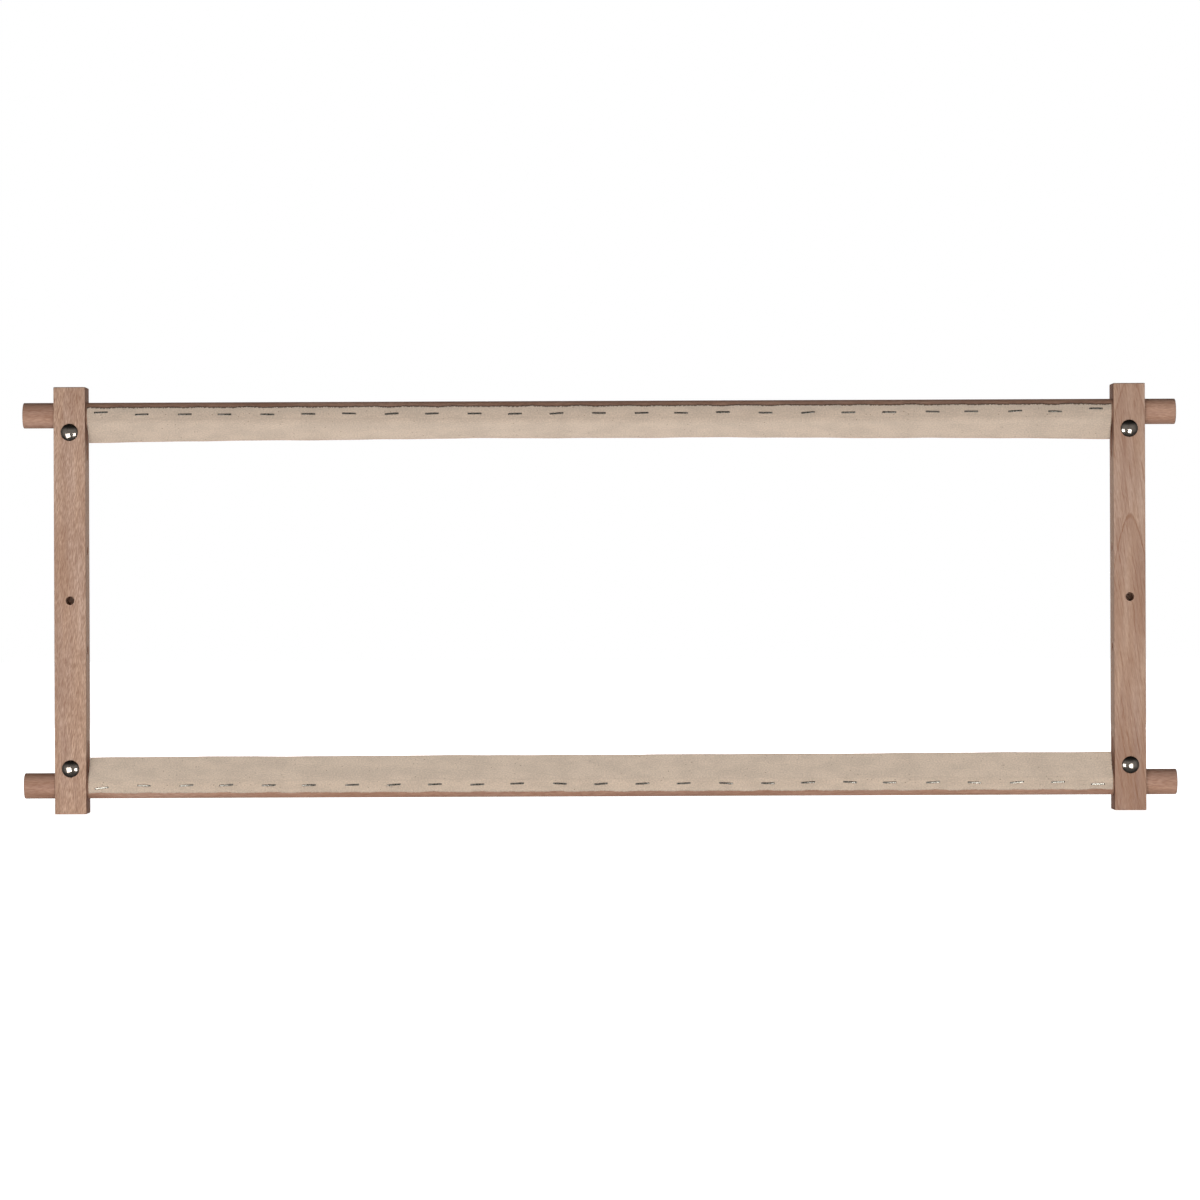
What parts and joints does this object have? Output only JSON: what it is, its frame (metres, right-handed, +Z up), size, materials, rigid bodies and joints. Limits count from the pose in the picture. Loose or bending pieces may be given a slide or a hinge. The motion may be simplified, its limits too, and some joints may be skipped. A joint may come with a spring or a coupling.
{
  "type": "rotating tapestry frame",
  "caption": "Wooden needlework frame: two slotted end bars clamp two turning rollers with stapled cotton tapes that hold and wind a canvas.",
  "frame": {"origin": "on the surface the frame stands on, half way between the two bars and half way through the frame's depth from the bolt heads to the wing nuts", "axes": "+X along the rollers to the right as seen from the front, +Y from the front with the bolt heads to the back with the wing nuts, +Z up along the end bars"},
  "size_m": [0.8586, 0.0452, 0.3175],
  "materials": {
    "bar_beech": "smooth sanded beech, no varnish",
    "dowel_beech": "smooth turned beech, no varnish",
    "cotton_tape": "unbleached plain-weave cotton with brown flecks",
    "plated_steel": "bright plated steel"
  },
  "bodies": {
    "left_bar": {"left_bar": "bar_beech", "left_top_bolt": "plated_steel", "left_bottom_bolt": "plated_steel"},
    "right_bar": {"right_bar": "bar_beech", "right_top_bolt": "plated_steel", "right_bottom_bolt": "plated_steel"},
    "top_roller": {"top_dowel": "dowel_beech", "top_webbing": "cotton_tape"},
    "bottom_roller": {"bottom_dowel": "dowel_beech", "bottom_webbing": "cotton_tape"},
    "left_top_washer": {"left_top_washer": "plated_steel"},
    "left_top_wing_nut": {"left_top_wing_nut": "plated_steel"},
    "left_bottom_washer": {"left_bottom_washer": "plated_steel"},
    "left_bottom_wing_nut": {"left_bottom_wing_nut": "plated_steel"},
    "right_top_washer": {"right_top_washer": "plated_steel"},
    "right_top_wing_nut": {"right_top_wing_nut": "plated_steel"},
    "right_bottom_washer": {"right_bottom_washer": "plated_steel"},
    "right_bottom_wing_nut": {"right_bottom_wing_nut": "plated_steel"}
  },
  "joints": [
    {"name": "top_roller_turn", "type": "hinge", "parent": "left_bar", "child": "top_roller", "pos_m": [0, -0.00555, 0.29675], "axis": [1, 0, 0], "continuous": true},
    {"name": "bottom_roller_turn", "type": "hinge", "parent": "left_bar", "child": "bottom_roller", "pos_m": [0, -0.00555, 0.02075], "axis": [1, 0, 0], "continuous": true},
    {"name": "right_bar_slide", "type": "slide", "parent": "left_bar", "child": "right_bar", "axis": [1, 0, 0], "range_m": [0, 0.05]},
    {"name": "left_top_washer_slide", "type": "slide", "parent": "left_bar", "child": "left_top_washer", "axis": [0, 1, 0], "range_m": [0, 0.0024]},
    {"name": "left_top_wing_nut_turn", "type": "hinge", "parent": "left_top_washer", "child": "left_top_wing_nut", "pos_m": [-0.39375, 0.01, 0.28375], "axis": [0, 1, 0], "range_deg": [0, 1080]},
    {"name": "left_bottom_washer_slide", "type": "slide", "parent": "left_bar", "child": "left_bottom_washer", "axis": [0, 1, 0], "range_m": [0, 0.0024]},
    {"name": "left_bottom_wing_nut_turn", "type": "hinge", "parent": "left_bottom_washer", "child": "left_bottom_wing_nut", "pos_m": [-0.39375, 0.01, 0.03375], "axis": [0, 1, 0], "range_deg": [0, 1080]},
    {"name": "right_top_washer_slide", "type": "slide", "parent": "right_bar", "child": "right_top_washer", "axis": [0, 1, 0], "range_m": [0, 0.0024]},
    {"name": "right_top_wing_nut_turn", "type": "hinge", "parent": "right_top_washer", "child": "right_top_wing_nut", "pos_m": [0.39375, 0.01, 0.28375], "axis": [0, 1, 0], "range_deg": [0, 1080]},
    {"name": "right_bottom_washer_slide", "type": "slide", "parent": "right_bar", "child": "right_bottom_washer", "axis": [0, 1, 0], "range_m": [0, 0.0024]},
    {"name": "right_bottom_wing_nut_turn", "type": "hinge", "parent": "right_bottom_washer", "child": "right_bottom_wing_nut", "pos_m": [0.39375, 0.01, 0.03375], "axis": [0, 1, 0], "range_deg": [0, 1080]}
  ],
  "couplings": [
    {"joint": "left_top_washer_slide", "follows": "left_top_wing_nut_turn", "m_per_rad": 0.00012732},
    {"joint": "left_bottom_washer_slide", "follows": "left_bottom_wing_nut_turn", "m_per_rad": 0.00012732},
    {"joint": "right_top_washer_slide", "follows": "right_top_wing_nut_turn", "m_per_rad": 0.00012732},
    {"joint": "right_bottom_washer_slide", "follows": "right_bottom_wing_nut_turn", "m_per_rad": 0.00012732}
  ]
}
